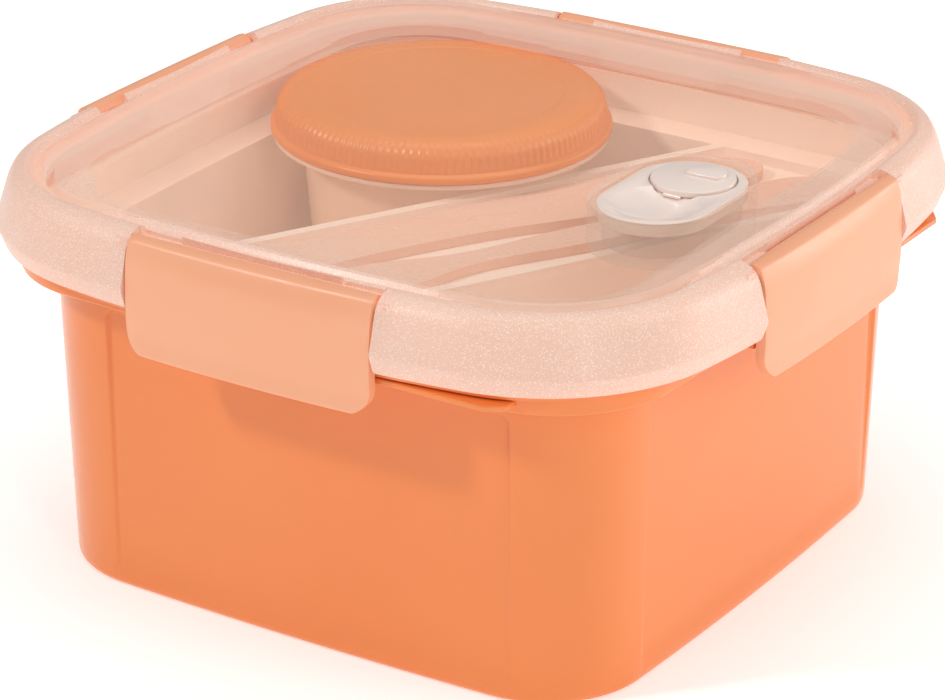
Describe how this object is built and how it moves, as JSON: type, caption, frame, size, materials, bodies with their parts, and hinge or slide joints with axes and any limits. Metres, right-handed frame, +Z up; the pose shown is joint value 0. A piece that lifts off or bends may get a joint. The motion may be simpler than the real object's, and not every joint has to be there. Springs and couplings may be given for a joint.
{
  "type": "snap lid food container",
  "caption": "Square lunch box with a windowed lid held by side clips, a steam vent, and an inside tray that carries a screw-capped dressing cup and cutlery.",
  "frame": {"origin": "centre of the base, on the surface that the box stands on", "axes": "+Z up, -Y towards the front clip, +X towards the side with the steam vent"},
  "size_m": [0.1616, 0.1616, 0.0832],
  "materials": {
    "body_orange": "glossy moulded polypropylene",
    "lid_clear_tint": "peach-tinted clear plastic, clear window inside a frosted rim",
    "silicone": "translucent white silicone",
    "clip_peach": "satin moulded polypropylene",
    "vent_white": "glossy white plastic",
    "tray_clear": "pale translucent plastic",
    "cap_orange": "satin moulded polypropylene",
    "cutlery_peach": "moulded reusable plastic"
  },
  "bodies": {
    "container": {"container_body": "body_orange"},
    "lid": {"lid": "lid_clear_tint", "lid_seal": "silicone", "vent_plate": "vent_white"},
    "clip_front": {"clip_front": "clip_peach"},
    "clip_right": {"clip_right": "clip_peach"},
    "clip_back": {"clip_back": "clip_peach"},
    "clip_left": {"clip_left": "clip_peach"},
    "vent_flap": {"vent_flap": "vent_white", "vent_plug": "silicone"},
    "tray": {"inner_tray": "tray_clear"},
    "cup": {"sauce_cup": "tray_clear"},
    "cap_liner": {"cup_seal": "silicone"},
    "cap": {"cup_cap": "cap_orange"},
    "knife": {"knife": "cutlery_peach"},
    "fork": {"fork": "cutlery_peach"}
  },
  "joints": [
    {"name": "lid_lift", "type": "slide", "parent": "container", "child": "lid", "axis": [0, 0, 1], "range_m": [0, 0.15]},
    {"name": "clip_front_hinge", "type": "hinge", "parent": "lid", "child": "clip_front", "pos_m": [0, -0.0764, 0.0802], "axis": [-1, 0, 0], "range_deg": [0, 105]},
    {"name": "clip_right_hinge", "type": "hinge", "parent": "lid", "child": "clip_right", "pos_m": [0.0764, 0, 0.0802], "axis": [0, -1, 0], "range_deg": [0, 105]},
    {"name": "clip_back_hinge", "type": "hinge", "parent": "lid", "child": "clip_back", "pos_m": [0, 0.0764, 0.0802], "axis": [1, 0, 0], "range_deg": [0, 105]},
    {"name": "clip_left_hinge", "type": "hinge", "parent": "lid", "child": "clip_left", "pos_m": [-0.0764, 0, 0.0802], "axis": [0, 1, 0], "range_deg": [0, 105]},
    {"name": "vent_flap_hinge", "type": "hinge", "parent": "lid", "child": "vent_flap", "pos_m": [0.042, 0.0024, 0.0785], "axis": [1, 0, 0], "range_deg": [0, 95]},
    {"name": "tray_lift", "type": "slide", "parent": "container", "child": "tray", "axis": [0, 0, 1], "range_m": [0, 0.045]},
    {"name": "cup_lift", "type": "slide", "parent": "tray", "child": "cup", "axis": [0, 0, 1], "range_m": [0, 0.03]},
    {"name": "cap_lift", "type": "slide", "parent": "cup", "child": "cap_liner", "axis": [0, 0, 1], "range_m": [0, 0.03]},
    {"name": "cap_turn", "type": "hinge", "parent": "cap_liner", "child": "cap", "pos_m": [-0.0305, 0.0335, 0.0767], "axis": [0, 0, 1], "range_deg": [0, 120]},
    {"name": "knife_lift", "type": "slide", "parent": "tray", "child": "knife", "axis": [0, 0, 1], "range_m": [0, 0.015]},
    {"name": "fork_lift", "type": "slide", "parent": "tray", "child": "fork", "axis": [0, 0, 1], "range_m": [0, 0.015]}
  ],
  "couplings": [
    {"joint": "tray_lift", "follows": "lid_lift", "ratio": 0.3},
    {"joint": "cup_lift", "follows": "lid_lift", "ratio": 0.2},
    {"joint": "cap_lift", "follows": "lid_lift", "ratio": 0.15},
    {"joint": "knife_lift", "follows": "lid_lift", "ratio": 0.1},
    {"joint": "fork_lift", "follows": "lid_lift", "ratio": 0.1}
  ]
}
